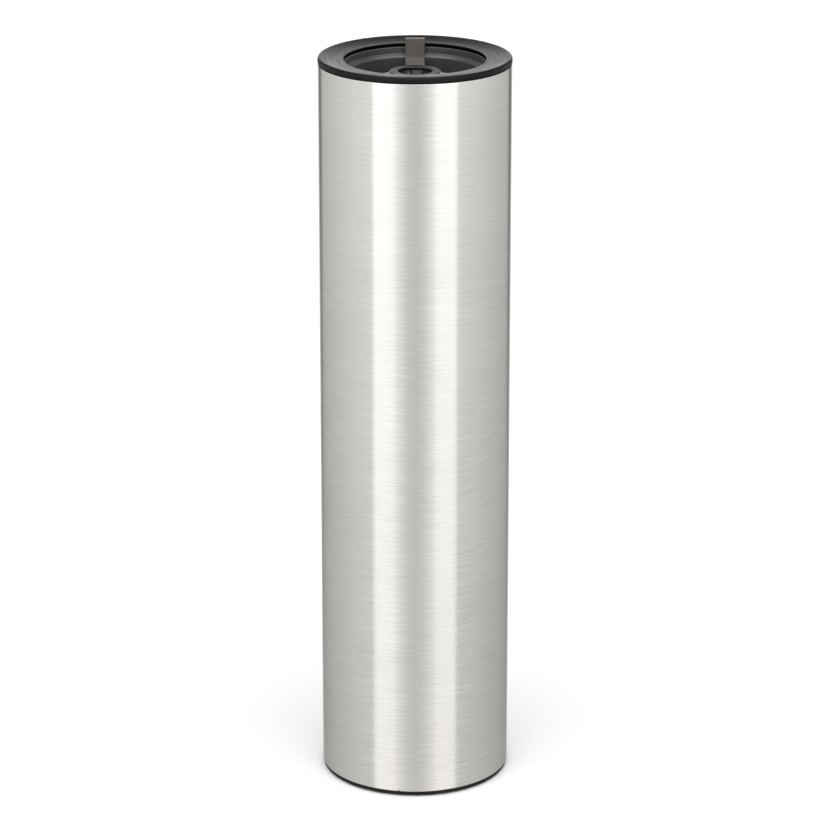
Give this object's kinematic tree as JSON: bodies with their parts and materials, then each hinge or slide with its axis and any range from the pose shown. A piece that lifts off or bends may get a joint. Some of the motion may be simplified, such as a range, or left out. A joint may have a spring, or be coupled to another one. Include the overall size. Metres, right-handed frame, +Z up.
{
  "type": "umbrella stand",
  "caption": "Slim round umbrella stand: brushed steel tube, black collar, lift-out liner and drop-in holder with a central hub.",
  "frame": {"origin": "on the floor at the middle of the base, under the tube's axis", "axes": "+Z up along the tube; +Y towards the back, where the holder's finger tab is; +X to the right"},
  "size_m": [0.15, 0.15, 0.5902],
  "materials": {
    "steel": "brushed round the tube",
    "collar_plastic": "satin moulded",
    "liner_plastic": "satin moulded",
    "holder_plastic": "satin moulded",
    "grip_rubber": "satin",
    "gasket_rubber": "matt",
    "mat_rubber": "matt, ridged",
    "pad_rubber": "matt",
    "cast_iron": "as cast, oiled",
    "spring_steel": "rolled",
    "zinc_steel": "zinc plated"
  },
  "bodies": {
    "stand": {"outer_tube": "steel", "base_plug": "collar_plastic", "base_clips": "spring_steel", "ballast": "cast_iron", "ballast_screws": "zinc_steel", "ballast_washers": "zinc_steel", "foot_pads": "pad_rubber"},
    "insert": {"top_collar": "collar_plastic", "rim_gasket": "gasket_rubber", "liner": "liner_plastic", "liner_screws": "zinc_steel", "tip_mat": "mat_rubber"},
    "holder": {"holder": "holder_plastic", "hub_grip": "grip_rubber"}
  },
  "joints": [
    {"name": "insert_lift", "type": "slide", "parent": "stand", "child": "insert", "axis": [0, 0, 1], "range_m": [0, 0.56]},
    {"name": "holder_lift", "type": "slide", "parent": "insert", "child": "holder", "axis": [0, 0, 1], "range_m": [0, 0.05]}
  ]
}
